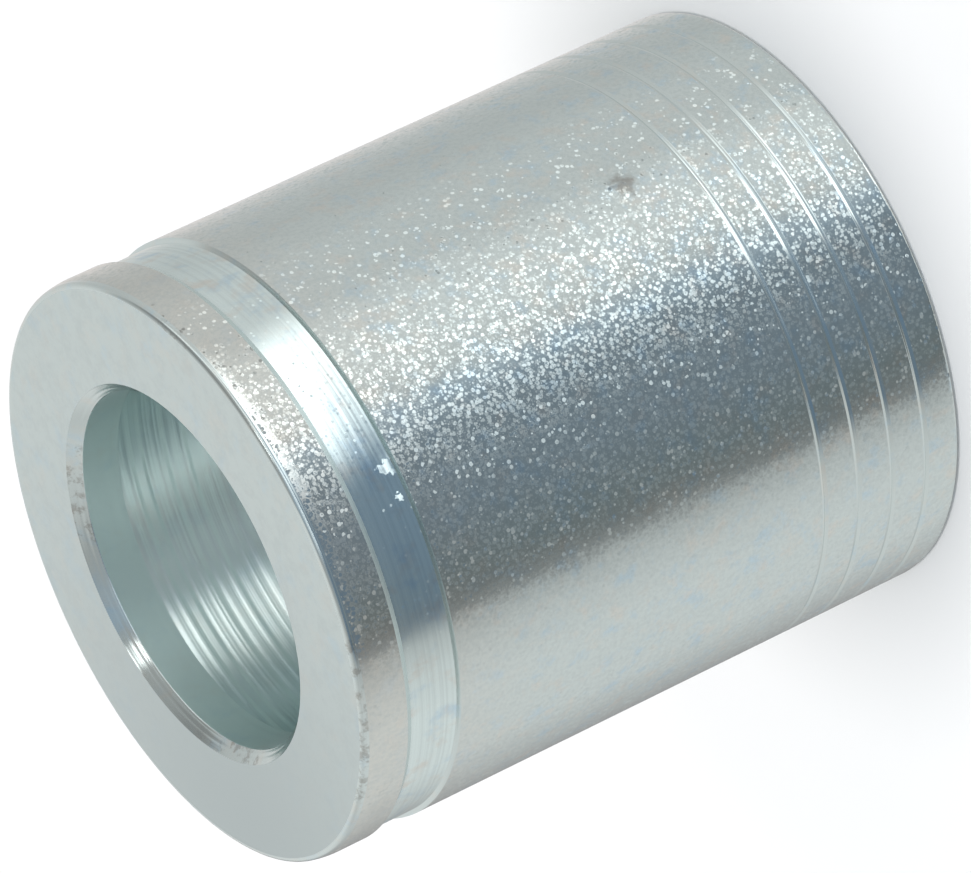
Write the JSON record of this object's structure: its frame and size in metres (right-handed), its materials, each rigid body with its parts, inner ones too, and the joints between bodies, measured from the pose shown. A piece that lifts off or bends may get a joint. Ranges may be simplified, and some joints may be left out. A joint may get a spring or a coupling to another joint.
{
  "type": "crimp hose ferrule",
  "caption": "Turned zinc-plated steel ferrule that is crimped over a hose end: a plain sleeve with a holed collar at one end, a grooved hose socket, and scribed rings near the open end.",
  "frame": {"origin": "centre of the open end, on the surface that the ferrule stands on", "axes": "+Z along the axis, from the open end towards the collar"},
  "size_m": [0.026, 0.026, 0.0303],
  "materials": {
    "zinc_steel": "bright zinc plating over drawn stock, with turned faces and bores"
  },
  "bodies": {
    "root": {"ferrule_sleeve": "zinc_steel"}
  },
  "joints": []
}
